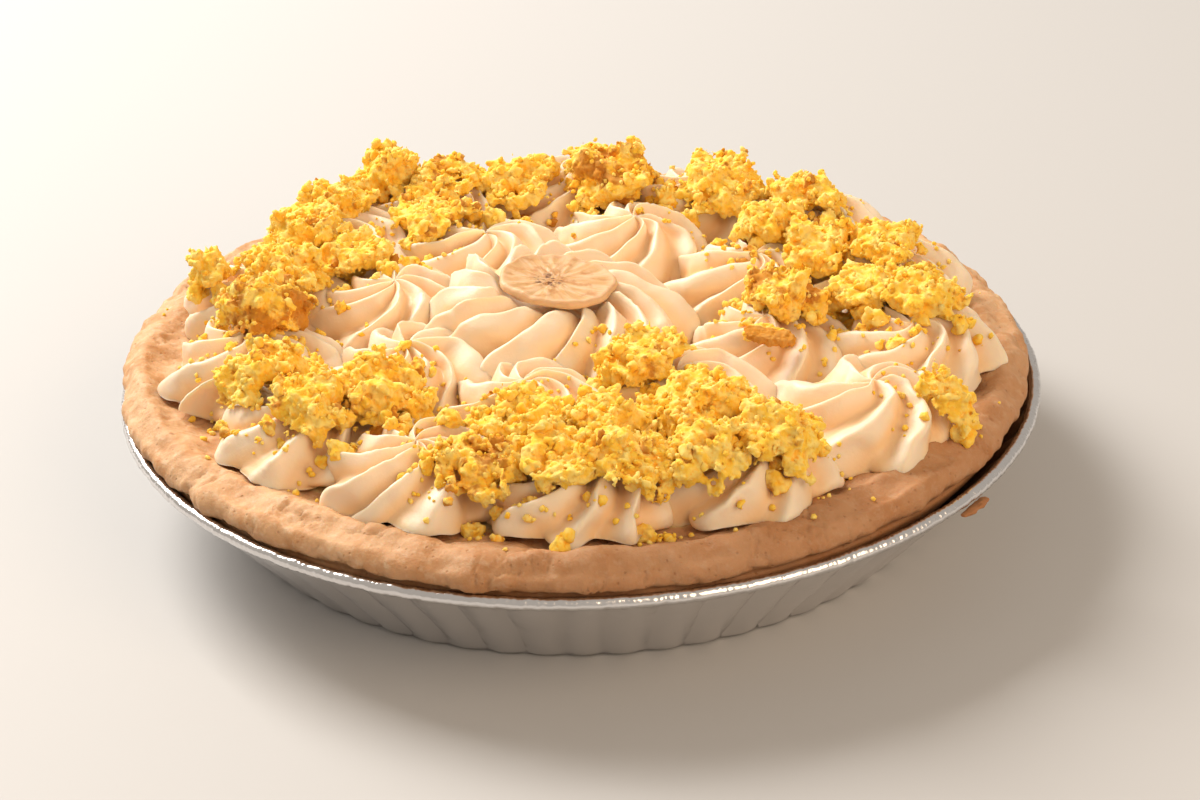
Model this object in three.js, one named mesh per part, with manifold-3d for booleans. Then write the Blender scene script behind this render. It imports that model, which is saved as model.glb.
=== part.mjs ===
// Banana cream pie in its foil pan: a baked pastry case, rosettes of whipped cream piped in
// three rings, a dried banana slice on top and clumps of crumbled yellow cake over the cream.
// Millimetres, +Z up. The origin is the middle of the pan's underside.
import * as THREE from 'three';
import { mergeVertices } from 'three/addons/utils/BufferGeometryUtils.js';
import Module from 'manifold-3d';

// ---- Driving dimensions ----

const GAP = 0.3;              // air between neighbouring pieces
const DEG = Math.PI / 180;

const PAN = {
  rimRadius: 122.2,           // a standard nine-inch foil pie pan, 244 mm over its rolled rim
  rimHeight: 31.2,            // middle of the rolled bead
  beadRadius: 1.6,
  baseRadius: 95,
  foil: 0.6,
  flutes: 60,
  fluteDepth: 1.3,
  slope: 40,                  // degrees that the wall leans out
  wallInset: 3,               // the wall's top: this much inside the middle of the bead
  wallDrop: 3.7,              // and this much below it
};

const CRUST = {
  segments: 66,
  edgeRadius: 120.8,          // outer edge of the rolled rim
  overhang: 1.6,              // how much further it reaches on the left than on the right
  shrunk: 1.9,                // where it has drawn back from the pan
  shrunkAt: -24,              // degrees
  shrunkOver: 34,
  dentDepth: 2.2,
  floorInset: 3.6,            // inside the pan's base, where the pastry's floor ends
  cornerInset: 1.9,           // inside the pan's base, where its wall begins
  cornerHeight: 2.4,
  wallInset: 4.2,             // inside the rim's edge, at the top of the pan's wall
  neckInset: 2.4,             // inside the rim's edge, where the pastry turns out over the bead
  neckRise: 1.3,              // and how far over the middle of the bead
  rimTop: 41.9,
  bed: 37,                    // level of the filling under the cream
  bedRadius: 98,
};

// The rolled rim cut through, from the outside over the top and in: how far inside the edge, the
// height, and which of the thumb's dents lowers it by how much.
const RIM = [
  [1.3, 33.3, 0, 0], [0, 36.2, 0, 0], [1.9, CRUST.rimTop - 2.5, 4, 0.5],
  [6.2, CRUST.rimTop, 5, 1], [12.3, CRUST.rimTop - 1.7, 6, 0.8], [17.5, CRUST.bed + 0.9, 0, 0],
];

const CREAM = {
  foot: CRUST.bed + GAP,      // level that the piping stands on
  crest: 2.4,                 // height of a petal's crest over its flanks
  gap: GAP / 2,               // each rosette's share of the gap to its neighbour
};

// Rings of rosettes. pull is how far the tip drew their tops sideways as it left them.
const RINGS = [
  { name: 'rosette_inner', count: 8, distance: 53, first: -15, radius: 22.5, height: 15, petals: 9, twist: 84, pull: 2 },
  { name: 'rosette_outer', count: 14, distance: 86.5, first: -12.1, radius: 22.5, height: 15.5, petals: 9, twist: 88, pull: 2 },
];
const PULLED = { rosette_outer_2: [5, 3] };

const CENTRE = {
  name: 'rosette_centre', x: -6, y: -1, radius: 36, height: 21.5, petals: 15, twist: 62, turned: 8, pull: [0, 0],
  lean: 6,                    // degrees that its top slopes down to the right
};

const CHIP = { x: -5.5, y: -2.4, radius: 15.4, thickness: 2.7, bottom: 58.1, tilt: CENTRE.lean, steps: 24 };

// A flat piece of the cake's browned top that lies on the cream.
const FLAKE = { x: 49, y: -28, length: 14, width: 9, thickness: 2, tilt: 9, turn: -8 };

// A drip of pastry that baked on under the pan's bead: where, how long and how thick, how far
// outside the bead's middle and how far below it.
const DRIP = { at: -37.5, length: 11, thickness: 2.6, out: 1.1, below: 3.4 };

// Clumps of crumbled cake: [x, y, half width, height over the cream].
const CLUMPS = [
  [-56, 80, 11, 11], [-68, 64, 9.5, 6], [-38, 75, 12, 5], [-18, 79, 12, 5], [-40, 54, 12, 6],
  [10, 75, 13, 11.5], [42, 69, 12.5, 6], [63, 57, 11.5, 5.5], [53, 37, 10.5, 8], [66, 23, 12, 8],
  [82, 20, 12, 6], [76, -3, 12, 8], [90, -12, 11, 8], [54, -8, 10, 9], [91, -57, 6.5, 6],
  [15, -41, 11, 6.5], [-50, -52, 13, 8], [-65, -60, 11.5, 7], [-79, -44, 12, 8], [-82, -9, 12, 10],
  [-79, 16, 11.5, 7], [-61, 30, 11.5, 7], [-75, 44, 11, 7], [-100, 14, 5.5, 9], [-22, -90, 12, 6],
  [-5, -92, 11.5, 6], [12, -92, 11.5, 6.5], [29, -88, 11.5, 7], [46, -84, 11.5, 7.5], [-14, -70, 12.5, 7],
  [8, -71, 13, 8], [30, -67, 13.5, 9],
];
const CLUMP_STEPS = 9;
const CLUMP_LUMPS = 0.18;     // how uneven a clump's outline is
const CLUMP_FOOTING = 2.2;    // a clump clears the cream this far round each point of its underside

// Crumbs that stick to each ring rosette.
const CRUMB = { perRosette: 1, radius: 2.4, sunk: 0.8, tries: 40 };

// ---- Shared geometry ----

// Repeatable unevenness between -1 and 1: the same for the same pair of numbers.
function uneven(index, channel) {
  return Math.sin(index * 12.9898 + channel * 78.233 + 0.7);
}

function polar(distance, degrees) {
  return [distance * Math.cos(degrees * DEG), distance * Math.sin(degrees * DEG)];
}

// A closed skin: a low pole, rings of equal count from low to high, and a high pole.
function skin(low, rings, high) {
  const count = rings[0].length;
  const points = [low, ...rings.flat(), high];
  const index = [];
  const at = (ring, step) => 1 + ring * count + (step % count);
  for (let step = 0; step < count; step += 1) {
    index.push(0, at(0, step + 1), at(0, step));
    for (let ring = 0; ring + 1 < rings.length; ring += 1) {
      index.push(at(ring, step), at(ring, step + 1), at(ring + 1, step + 1));
      index.push(at(ring, step), at(ring + 1, step + 1), at(ring + 1, step));
    }
    index.push(points.length - 1, at(rings.length - 1, step), at(rings.length - 1, step + 1));
  }
  const geometry = new THREE.BufferGeometry();
  geometry.setAttribute('position', new THREE.Float32BufferAttribute(points.flat(), 3));
  geometry.setIndex(index);
  return geometry;
}

function mesh(name, geometry, material, place = [0, 0, 0]) {
  const flat = geometry.index ? geometry.toNonIndexed() : geometry;
  flat.computeVertexNormals();
  const piece = new THREE.Mesh(flat, material);
  piece.name = name;
  piece.position.set(...place);
  return piece;
}

const material = {
  foil: new THREE.MeshStandardMaterial({ color: 0xb4b0ac, roughness: 0.3, metalness: 1 }),
  crust: new THREE.MeshStandardMaterial({ color: 0xd9a878, roughness: 0.85 }),
  cream: new THREE.MeshStandardMaterial({ color: 0xfdeed8, roughness: 0.5 }),
  banana: new THREE.MeshStandardMaterial({ color: 0xe8bd80, roughness: 0.6 }),
  cake: new THREE.MeshStandardMaterial({ color: 0xf4cf5a, roughness: 0.95 }),
};

// ---- Foil pan: flat floor, fluted sloping wall and a rolled bead round the rim ----

function panGeometry() {
  const bead = PAN.rimRadius - PAN.beadRadius;
  const beadPoint = (degrees) => {
    const [out, up] = polar(PAN.beadRadius, degrees);
    return [bead + out, PAN.rimHeight + up, 0];
  };
  const wallTop = PAN.rimHeight - PAN.wallDrop;
  const wallTopRadius = bead - PAN.wallInset;
  const inside = PAN.foil / Math.cos(PAN.slope * DEG);
  // Each row is a radius, a height and how strongly the flutes show there.
  const section = [
    [PAN.baseRadius - 2, 0, 0],
    [PAN.baseRadius, 1.6, 1],
    [wallTopRadius, wallTop, 1],
    beadPoint(-100), beadPoint(-5), beadPoint(95),
    [wallTopRadius - inside, wallTop + 0.3, 1],
    [PAN.baseRadius - 1 - inside, PAN.foil, 1],
  ];
  const steps = PAN.flutes * 2;
  const rings = section.map(([radius, height, fluted]) => Array.from({ length: steps }, (_, step) => {
    const wave = (step % 2 ? -0.5 : 0.5) * fluted * PAN.fluteDepth;
    return [...polar(radius + wave, (step * 360) / steps), height];
  }));
  return skin([0, 0, 0], rings, [0, 0, PAN.foil]);
}

// ---- Pastry case with its filling: one solid, with a thumbed, rolled rim ----

// The baker's thumb pressed the rim down by a different amount at every step round it.
function crustDent(step, row) {
  return CRUST.dentDepth * (0.5 + 0.5 * uneven(step % CRUST.segments, row));
}

function crustTurn(step) {
  return (step * 360) / CRUST.segments;
}

function crustEdge(degrees) {
  const away = Math.abs(((degrees - CRUST.shrunkAt + 540) % 360) - 180);
  const lean = CRUST.overhang * 0.5 * Math.cos((degrees - 185) * DEG);
  return CRUST.edgeRadius + lean - CRUST.shrunk * Math.exp(-((away / CRUST.shrunkOver) ** 2));
}

// The pastry cut through at one step: radius and height from the floor, up the wall and over the rim.
function crustSection(step) {
  const edge = crustEdge(crustTurn(step)) - 0.4 * crustDent(step, 3);
  const wall = PAN.rimRadius - PAN.beadRadius - PAN.wallInset;
  return [
    [PAN.baseRadius - CRUST.floorInset, PAN.foil + GAP],
    [PAN.baseRadius - CRUST.cornerInset, CRUST.cornerHeight],
    [Math.min(wall - 2, edge - CRUST.wallInset), PAN.rimHeight - PAN.wallDrop],
    [Math.min(wall, edge - CRUST.neckInset), PAN.rimHeight + CRUST.neckRise],
    ...RIM.map(([inset, height, dent, share]) => [edge - inset, height - share * crustDent(step, dent)]),
    [CRUST.bedRadius, CRUST.bed],
  ];
}

function crustGeometry() {
  const sections = Array.from({ length: CRUST.segments }, (_, step) => crustSection(step));
  const rings = sections[0].map((_, row) => sections.map((section, step) => {
    const [radius, height] = section[row];
    return [...polar(radius, crustTurn(step)), height];
  }));
  return skin([0, 0, PAN.foil + GAP], rings, [0, 0, CRUST.bed]);
}

// Height of the pastry's upper face at a point in plan.
function crustTop(x, y) {
  const radius = Math.hypot(x, y);
  const turn = (((Math.atan2(y, x) / DEG + 360) % 360) * CRUST.segments) / 360;
  const step = Math.floor(turn);
  const heightIn = (section) => {
    const face = section.slice(-4).reverse();
    for (let row = 0; row + 1 < face.length; row += 1) {
      const [r0, z0] = face[row];
      const [r1, z1] = face[row + 1];
      if (radius < r1) return z0 + (z1 - z0) * Math.max(0, (radius - r0) / (r1 - r0));
    }
    return CRUST.rimTop;
  };
  const [before, after] = [heightIn(crustSection(step)), heightIn(crustSection(step + 1))];
  return before + (after - before) * (turn - step);
}

// ---- Piped rosettes ----

function ringRosettes(ring, ringIndex) {
  return Array.from({ length: ring.count }, (_, k) => {
    const channel = ringIndex * 10;
    const [x, y] = polar(ring.distance + 1.2 * uneven(k, channel + 1),
      ring.first - (k * 360) / ring.count + 1.3 * uneven(k, channel + 2));
    const name = `${ring.name}_${k + 1}`;
    return {
      name,
      x,
      y,
      radius: ring.radius + 0.5 * uneven(k, channel + 3),
      height: ring.height + 0.9 * uneven(k, channel + 4),
      petals: ring.petals,
      twist: ring.twist,
      turned: 180 * uneven(k, channel + 5),
      pull: PULLED[name] ?? [ring.pull * uneven(k, channel + 6), ring.pull * uneven(k, channel + 7)],
      lean: 0,
    };
  });
}

const rosettes = [CENTRE, ...RINGS.flatMap(ringRosettes)];

// How far a rosette may reach in one direction before it meets a neighbour.
function reach(rosette, angle) {
  let most = Infinity;
  for (const other of rosettes) {
    const apart = Math.hypot(other.x - rosette.x, other.y - rosette.y);
    if (other === rosette || apart > rosette.radius + other.radius + 4) continue;
    const seam = (apart * apart + rosette.radius ** 2 - other.radius ** 2) / (2 * apart) - CREAM.gap;
    const facing = Math.cos(angle - Math.atan2(other.y - rosette.y, other.x - rosette.x));
    if (facing > 0) most = Math.min(most, seam / facing);
  }
  return most;
}

// A petal's side view from its foot to the top: share of radius, of height, and of the crest.
const PETAL = [
  [0.93, 0, 0.7], [1.0, 0.17, 1], [0.84, 0.52, 1], [0.56, 0.83, 0.8], [0.24, 0.99, 0.4],
];
const CENTRE_PETAL = [
  [0.95, 0, 0.7], [1.0, 0.16, 0.9], [0.9, 0.5, 1.05], [0.69, 0.8, 1.05], [0.46, 0.87, 0.9], [0.36, 0.7, 0.1],
];
const PETAL_TOP = 1.02;
const CENTRE_TOP = 0.68;

// Round one petal, anticlockwise: the groove, the crest, and the broad flank that falls away from it.
const ACROSS = [[0, -1], [0.36, 0.9], [0.7, 0]];

const profileOf = (rosette) => (rosette === CENTRE ? CENTRE_PETAL : PETAL);
const topOf = (rosette) => (rosette === CENTRE ? CENTRE_TOP : PETAL_TOP);

// How far a rosette's middle has moved at a share of its height, and how much its top slopes down.
const pulledTo = (rosette, up) => rosette.pull.map((pull) => pull * up * up);
const leaned = (rosette, x, up) => x * up * Math.tan(rosette.lean * DEG);

function rosetteGeometry(rosette) {
  const rings = profileOf(rosette).map(([out, up, sharp]) => {
    const ring = [];
    for (let petal = 0; petal < rosette.petals; petal += 1) {
      for (const [across, rise] of ACROSS) {
        const ridge = CREAM.crest * sharp * rise;
        const steep = Math.sqrt(Math.max(0, 1 - up * up));
        const turn = rosette.turned + ((petal + across) * 360) / rosette.petals - rosette.twist * out;
        const [x, y] = polar(rosette.radius * out + ridge * steep, turn).map((p, i) => p + pulledTo(rosette, up)[i]);
        const within = Math.min(1, reach(rosette, Math.atan2(y, x)) / Math.hypot(x, y));
        const footing = crustTop(rosette.x + x * within, rosette.y + y * within) + 3 * GAP - CREAM.foot;
        const height = (rosette.height + ridge) * up - leaned(rosette, x, up);
        ring.push([x * within, y * within, up === 0 ? Math.max(0, footing) : Math.max(height, footing + 1)]);
      }
    }
    return ring;
  });
  return skin([0, 0, 0], rings, [...pulledTo(rosette, topOf(rosette)), rosette.height * topOf(rosette)]);
}

// Highest the cream comes at a point in plan, crests included.
function creamTop(x, y) {
  let top = crustTop(x, y);
  for (const rosette of rosettes) {
    const rows = [...profileOf(rosette), [0, topOf(rosette)]];
    const outside = rows.map(([out, up]) => {
      const [dx, dy] = pulledTo(rosette, up);
      return Math.hypot(x - rosette.x - dx, y - rosette.y - dy) - (rosette.radius + CREAM.crest) * out;
    });
    let row = rows.length - 1;
    while (row >= 0 && outside[row] > 0) row -= 1;
    if (row < 0) continue;
    const above = Math.min(row + 1, rows.length - 1);
    const share = above === row ? 0 : -outside[row] / (outside[above] - outside[row]);
    const up = rows[row][1] + (rows[above][1] - rows[row][1]) * share;
    top = Math.max(top, CREAM.foot + rosette.height * up - leaned(rosette, x - rosette.x, up) + CREAM.crest);
  }
  return top;
}

// ---- Clumps of cake: lumpy heaps that lie on the cream ----

const clumps = CLUMPS.map(([x, y, radius, height]) => ({ x, y, radius, height }));

function clumpReach(clump, angle) {
  let most = Infinity;
  for (const other of clumps) {
    const apart = Math.hypot(other.x - clump.x, other.y - clump.y);
    if (other === clump || apart > 40) continue;
    const seam = (apart * apart + clump.radius ** 2 - other.radius ** 2) / (2 * apart) - GAP / 2;
    const facing = Math.cos(angle - Math.atan2(other.y - clump.y, other.x - clump.x));
    if (facing > 0) most = Math.min(most, seam / facing);
  }
  return most;
}

// Lowest level at which a clump's underside clears the cream round a point.
function restOn(x, y) {
  let level = creamTop(x, y);
  for (let side = 0; side < 8; side += 1) {
    const [dx, dy] = polar(CLUMP_FOOTING, side * 45);
    level = Math.max(level, creamTop(x + dx, y + dy));
  }
  return level + GAP;
}

function clumpGeometry(clump, index) {
  const middle = restOn(clump.x, clump.y);
  // Each row is a share of the half width and of the height over the cream.
  const rows = [[0.5, 0], [0.95, 0], [1, 0.5], [0.6, 0.95]];
  const rings = rows.map(([out, up], row) => Array.from({ length: CLUMP_STEPS }, (_, step) => {
    const angle = ((step + 0.3 * uneven(step + index, 4)) * 360 * DEG) / CLUMP_STEPS;
    const lump = 1 + CLUMP_LUMPS * uneven(step * 3 + index, 5 + row);
    const distance = Math.min(clump.radius * out * lump, clumpReach(clump, angle));
    const [x, y] = [distance * Math.cos(angle), distance * Math.sin(angle)];
    const rest = restOn(clump.x + x, clump.y + y);
    const level = up ? Math.max(rest, (rest + middle) / 2) : rest;
    return [x, y, level + clump.height * up * lump];
  }));
  return skin([0, 0, middle], rings, [0, 0, middle + clump.height * 1.05]);
}

// A thin slab with a ragged outline, level with the highest cream under it and then tilted.
function flakeGeometry() {
  const steps = 12;
  const rows = [[0.92, 0], [1, 0.5], [0.9, 1]];
  const rings = rows.map(([out, up]) => Array.from({ length: steps }, (_, step) => {
    const ragged = out * (1 + 0.12 * uneven(step, 61));
    const angle = (step * 360 * DEG) / steps;
    const [x, y] = [FLAKE.length * ragged * Math.cos(angle) / 2, FLAKE.width * ragged * Math.sin(angle) / 2];
    return [x, y, FLAKE.thickness * up + 0.3 * uneven(step, 62)];
  }));
  return skin([0, 0, 0], rings, [0, 0, FLAKE.thickness]);
}

function flakeRest() {
  const rests = Array.from({ length: 8 }, (_, side) => {
    const [dx, dy] = [FLAKE.length / 2 * Math.cos(side * 45 * DEG), FLAKE.width / 2 * Math.sin(side * 45 * DEG)];
    return restOn(FLAKE.x + dx, FLAKE.y + dy) + dx * Math.tan(FLAKE.tilt * DEG);
  });
  return Math.max(...rests) + 0.2;
}

// ---- Drip of pastry under the rim: a short lumpy bar that follows the bead ----

function dripGeometry() {
  const bead = PAN.rimRadius - PAN.beadRadius;
  const rows = [-0.42, -0.15, 0.15, 0.42];
  const sides = 7;
  const middle = [bead + DRIP.out, PAN.rimHeight - DRIP.below];
  const rings = rows.map((share, row) => Array.from({ length: sides }, (_, side) => {
    const swell = (1 + 0.25 * uneven(side + row * 3, 71)) * Math.cos(share * 2);
    const [out, up] = polar(0.5 * DRIP.thickness * swell, (side * 360) / sides);
    const degrees = DRIP.at - (share * DRIP.length) / bead / DEG;
    return [...polar(middle[0] + out, degrees), middle[1] + 0.5 * up];
  }));
  const end = (share) => [...polar(middle[0], DRIP.at - (share * DRIP.length) / bead / DEG), middle[1]];
  return skin(end(-0.5), rings, end(0.5));
}

// ---- Dried banana slice: a thin wavy disc with a raised edge ----

function chipGeometry() {
  const rows = [[0.93, 0], [1, 0.45], [0.97, 1.05], [0.86, 0.9], [0.45, 0.82]];
  const rings = rows.map(([out, up]) => Array.from({ length: CHIP.steps }, (_, step) => {
    const wave = 0.35 * Math.sin(step * 1.1) + 0.25 * Math.sin(step * 2.3 + 1);
    const [x, y] = polar(CHIP.radius * out + wave * out * out, (step * 360) / CHIP.steps);
    return [x, y, CHIP.thickness * up + 0.25 * wave * up];
  }));
  return skin([0, 0, 0.1], rings, [0, 0, CHIP.thickness * 0.8]);
}

// ---- Assembly ----

const wasm = await Module();
wasm.setup();

function solid(geometry) {
  const welded = geometry.clone();
  welded.deleteAttribute('normal');
  welded.deleteAttribute('uv');
  const merged = mergeVertices(welded, 1e-4);
  return new wasm.Manifold(new wasm.Mesh({
    numProp: 3,
    vertProperties: new Float32Array(merged.attributes.position.array),
    triVerts: new Uint32Array(merged.index.array),
  }));
}

function geometryOf(manifold) {
  const { vertProperties, triVerts } = manifold.getMesh();
  const geometry = new THREE.BufferGeometry();
  geometry.setAttribute('position', new THREE.BufferAttribute(new Float32Array(vertProperties), 3));
  geometry.setIndex(new THREE.BufferAttribute(new Uint32Array(triVerts), 1));
  return geometry;
}

// A rosette with the small crumbs that stick to it, clear of the clumps and of its neighbours.
function crumbedRosette(rosette, index) {
  let body = solid(rosetteGeometry(rosette));
  let placed = 0;
  for (let draw = 0; draw < CRUMB.tries && placed < CRUMB.perRosette; draw += 1) {
    const angle = Math.PI * uneven(draw + index * 7, 31);
    const distance = rosette.radius * (0.55 + 0.3 * uneven(draw + index * 5, 32));
    const size = CRUMB.radius * (1 + 0.25 * uneven(draw + index, 33));
    const [x, y] = [distance * Math.cos(angle), distance * Math.sin(angle)];
    const free = clumps.every((clump) => (
      Math.hypot(clump.x - rosette.x - x, clump.y - rosette.y - y) > clump.radius * 1.2 + size + 1));
    if (!free || distance + size + 0.6 > reach(rosette, angle)) continue;
    const lift = creamTop(rosette.x + x, rosette.y + y) - CREAM.foot - CREAM.crest;
    const crumb = new THREE.IcosahedronGeometry(size, 0).rotateZ(angle).translate(x, y, lift - CRUMB.sunk);
    const joined = body.add(solid(crumb));
    if (joined.decompose().length > 1) continue;
    body = joined;
    placed += 1;
  }
  return geometryOf(body);
}

const pie = new THREE.Group();
pie.add(mesh('foil_pan', panGeometry(), material.foil));
pie.add(mesh('crust', crustGeometry(), material.crust));

const cream = new THREE.Group();
cream.position.z = CREAM.foot;
rosettes.forEach((rosette, index) => {
  const geometry = index ? crumbedRosette(rosette, index) : rosetteGeometry(rosette);
  cream.add(mesh(rosette.name, geometry, material.cream, [rosette.x, rosette.y, 0]));
});
pie.add(cream);

const chip = mesh('banana_chip', chipGeometry(), material.banana, [CHIP.x, CHIP.y, CHIP.bottom]);
chip.rotation.y = CHIP.tilt * DEG;
pie.add(chip);

clumps.forEach((clump, index) => {
  const name = `cake_clump_${String(index + 1).padStart(2, '0')}`;
  pie.add(mesh(name, clumpGeometry(clump, index), material.cake, [clump.x, clump.y, 0]));
});

const flake = mesh('cake_flake', flakeGeometry(), material.cake, [FLAKE.x, FLAKE.y, flakeRest()]);
flake.rotation.set(0, FLAKE.tilt * DEG, FLAKE.turn * DEG);
pie.add(flake);

pie.add(mesh('pastry_drip', dripGeometry(), material.crust));

export default pie;
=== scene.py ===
"""A banana cream pie in its foil pan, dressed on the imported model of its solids.

The pie is built up as a baker does it: the foil pan, the pastry case, the piped cream, the
banana slice and the crumbled cake. Everything is in metres, in the frame of the solids: +Z up,
-Y towards the viewer, the origin in the middle of the pan's underside.
"""
import math

import bmesh
import bpy
import numpy as np
from mathutils import Euler, Matrix, Vector, noise


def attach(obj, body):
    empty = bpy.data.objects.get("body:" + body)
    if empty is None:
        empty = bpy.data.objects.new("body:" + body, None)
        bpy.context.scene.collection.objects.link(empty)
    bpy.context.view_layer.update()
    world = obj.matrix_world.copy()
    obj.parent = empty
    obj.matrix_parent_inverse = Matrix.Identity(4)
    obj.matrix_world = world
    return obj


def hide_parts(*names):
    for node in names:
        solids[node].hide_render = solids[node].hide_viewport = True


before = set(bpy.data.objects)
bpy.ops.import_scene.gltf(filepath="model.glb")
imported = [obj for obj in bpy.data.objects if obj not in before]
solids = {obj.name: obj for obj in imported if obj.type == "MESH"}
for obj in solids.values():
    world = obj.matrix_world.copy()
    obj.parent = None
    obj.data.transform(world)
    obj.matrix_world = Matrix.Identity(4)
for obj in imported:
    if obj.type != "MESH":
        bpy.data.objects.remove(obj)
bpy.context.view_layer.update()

MM = 0.001


# ---- Camera ----
# The photograph's view: an 85 mm lens on a full-frame body, at a diner's height over the table and
# hardly tilted sideways.

CAMERA_PLACE = (5.0 * MM, -679.9 * MM, 372.0 * MM)
CAMERA_DOWN = math.radians(27.25)
CAMERA_ROLL = math.radians(-1.39)
CAMERA_LENS = 85.0            # the lens and the sensor are given in millimetres
CAMERA_SENSOR = 36.0

lens = bpy.data.cameras.new("camera")
lens.lens = CAMERA_LENS
lens.sensor_width = CAMERA_SENSOR
camera = bpy.data.objects.new("camera", lens)
aim = Euler((math.pi / 2 - CAMERA_DOWN, 0, 0)).to_matrix() @ Matrix.Rotation(CAMERA_ROLL, 3, "Z")
camera.matrix_world = Matrix.Translation(CAMERA_PLACE) @ aim.to_4x4()
bpy.context.scene.collection.objects.link(camera)
bpy.context.scene.camera = camera


# ---- Table and studio light ----
# A plain pale table top under one large soft window light from behind on the left, with a weak
# fill from the front and a dim even room.

FLOOR_HALF = 3.0
FLOOR_COLOUR = (0.52, 0.51, 0.50, 1)
ROOM_COLOUR = (1.0, 0.91, 0.81, 1)
ROOM_STRENGTH = 0.50
# Each light: its place, its side in metres, its power in watts and its colour.
LIGHTS = {
    "window": ((-0.8, 0.75, 1.0), 0.75, 32.0, (1.0, 0.96, 0.91)),
    "fill": ((0.9, -0.9, 0.8), 1.1, 10.5, (1.0, 0.75, 0.51)),
}


def add(tree, kind, inputs=(), **settings):
    """One new node. inputs pairs a socket's name or number with a value or the socket that feeds it."""
    node = tree.nodes.new(kind)
    for name, value in settings.items():
        setattr(node, name, value)
    for socket, value in dict(inputs).items():
        if isinstance(value, bpy.types.NodeSocket):
            tree.links.new(value, node.inputs[socket])
        else:
            node.inputs[socket].default_value = value
    return node


def new_object(name, mesh):
    """A mesh as an object of the scene, smooth shaded."""
    mesh.polygons.foreach_set("use_smooth", [True] * len(mesh.polygons))
    made = bpy.data.objects.new(name, mesh)
    bpy.context.scene.collection.objects.link(made)
    return made


def new_material(name, finish):
    """A material with its node tree, its Principled shader, which has the given values, and the
    place on the object for its patterns."""
    material = bpy.data.materials.new(name)
    material.use_nodes = True
    tree = material.node_tree
    tree.nodes.clear()
    surface = add(tree, "ShaderNodeBsdfPrincipled", finish)
    add(tree, "ShaderNodeOutputMaterial", {"Surface": surface.outputs[0]})
    return material, tree, surface, add(tree, "ShaderNodeTexCoord").outputs["Object"]


floor_mesh = bpy.data.meshes.new("table")
floor_corners = [(x * FLOOR_HALF, y * FLOOR_HALF, 0) for x, y in ((-1, -1), (1, -1), (1, 1), (-1, 1))]
floor_mesh.from_pydata(floor_corners, [], [(0, 1, 2, 3)])
floor = new_object("table", floor_mesh)
floor_material = new_material("pale table", {"Base Color": FLOOR_COLOUR, "Roughness": 0.6})[0]
floor_mesh.materials.append(floor_material)

for light_name, (place, side, power, colour) in LIGHTS.items():
    lamp = bpy.data.lights.new(light_name, "AREA")
    lamp.size = side
    lamp.energy = power
    lamp.color = colour
    light = bpy.data.objects.new(light_name, lamp)
    light.location = place
    light.rotation_euler = Vector(place).to_track_quat("Z", "Y").to_euler()
    bpy.context.scene.collection.objects.link(light)

world = bpy.data.worlds.new("room")
world.use_nodes = True
room = world.node_tree.nodes["Background"]
room.inputs["Color"].default_value = ROOM_COLOUR
room.inputs["Strength"].default_value = ROOM_STRENGTH
bpy.context.scene.world = world
bpy.context.scene.view_settings.view_transform = "Standard"


# ---- Foil pan ----
# A standard pie pan pressed from soft aluminium foil. The press gathers the sloping wall into
# flutes, and the edge is rolled outwards into a bead that creases finely all the way round.

PAN_RIM = 122.2 * MM          # outermost edge of the bead
PAN_BEAD = 1.6 * MM           # radius of the rolled bead
PAN_BEAD_HEIGHT = 31.2 * MM
PAN_BASE = 95 * MM
PAN_FOIL = 0.6 * MM
PAN_STEPS = 2080
PAN_FLUTES = 60.0
PAN_FLUTE_DEPTH = 2.5 * MM
PAN_FLUTE_SWAY = 18 * MM      # size of the waves that push the flutes aside
PAN_BUCKLE = 9 * MM           # size of the buckles between them
PAN_CRIMPS = 520.0            # small creases that the roller left across the bead
PAN_CRIMP_DEPTH = 0.2 * MM
PAN_CRIMP_SWAY = 6 * MM
PAN_CREASE = 2.4 * MM         # size of the irregular creases among them
PAN_CRIMP_TOP = 0.1 * MM      # no crease stands out further than this
FOIL_COLOUR = (0.74, 0.72, 0.71, 1)


def turned_mesh(name, rings):
    """A closed skin from a low pole, rings of equal count from low to high, and a high pole."""
    count = len(rings[1])
    points = [rings[0], *(point for ring in rings[1:-1] for point in ring), rings[-1]]
    last = len(points) - 1
    faces = []
    for step in range(count):
        after = (step + 1) % count
        faces.append((0, 1 + after, 1 + step))
        top = 1 + (len(rings) - 3) * count
        faces.append((last, top + step, top + after))
    for ring in range(len(rings) - 3):
        low = 1 + ring * count
        high = low + count
        for step in range(count):
            after = (step + 1) % count
            faces.append((low + step, low + after, high + after, high + step))
    mesh = bpy.data.meshes.new(name)
    mesh.from_pydata(points, [], faces)
    return mesh


def store(mesh, name, values):
    """A number for each point of a mesh, which its node trees and its material can read."""
    numbers = mesh.attributes.new(name, "FLOAT", "POINT")
    numbers.data.foreach_set("value", np.asarray(values, np.float32))


def feed(kind, inputs, **settings):
    """The outputs of one new node, in the tree of the sockets that feed it."""
    inputs = dict(inputs)
    feeding = next(value for value in inputs.values() if isinstance(value, bpy.types.NodeSocket))
    return add(feeding.id_data, kind, inputs, **settings).outputs


def calculate(operation, *values):
    """The result of one Math node. Its values are numbers or sockets."""
    return feed("ShaderNodeMath", enumerate(values), operation=operation)[0]


def times(product, *factors):
    """Numbers and sockets, multiplied together in their order."""
    for factor in factors:
        product = calculate("MULTIPLY", product, factor)
    return product


def vector_of(operation, *values, result="Vector"):
    """The result of one Vector Math node."""
    return feed("ShaderNodeVectorMath", enumerate(values), operation=operation)[result]


def scaled(vector, scale):
    """A vector made longer or shorter."""
    return feed("ShaderNodeVectorMath", {0: vector, "Scale": scale}, operation="SCALE")[0]


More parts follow.
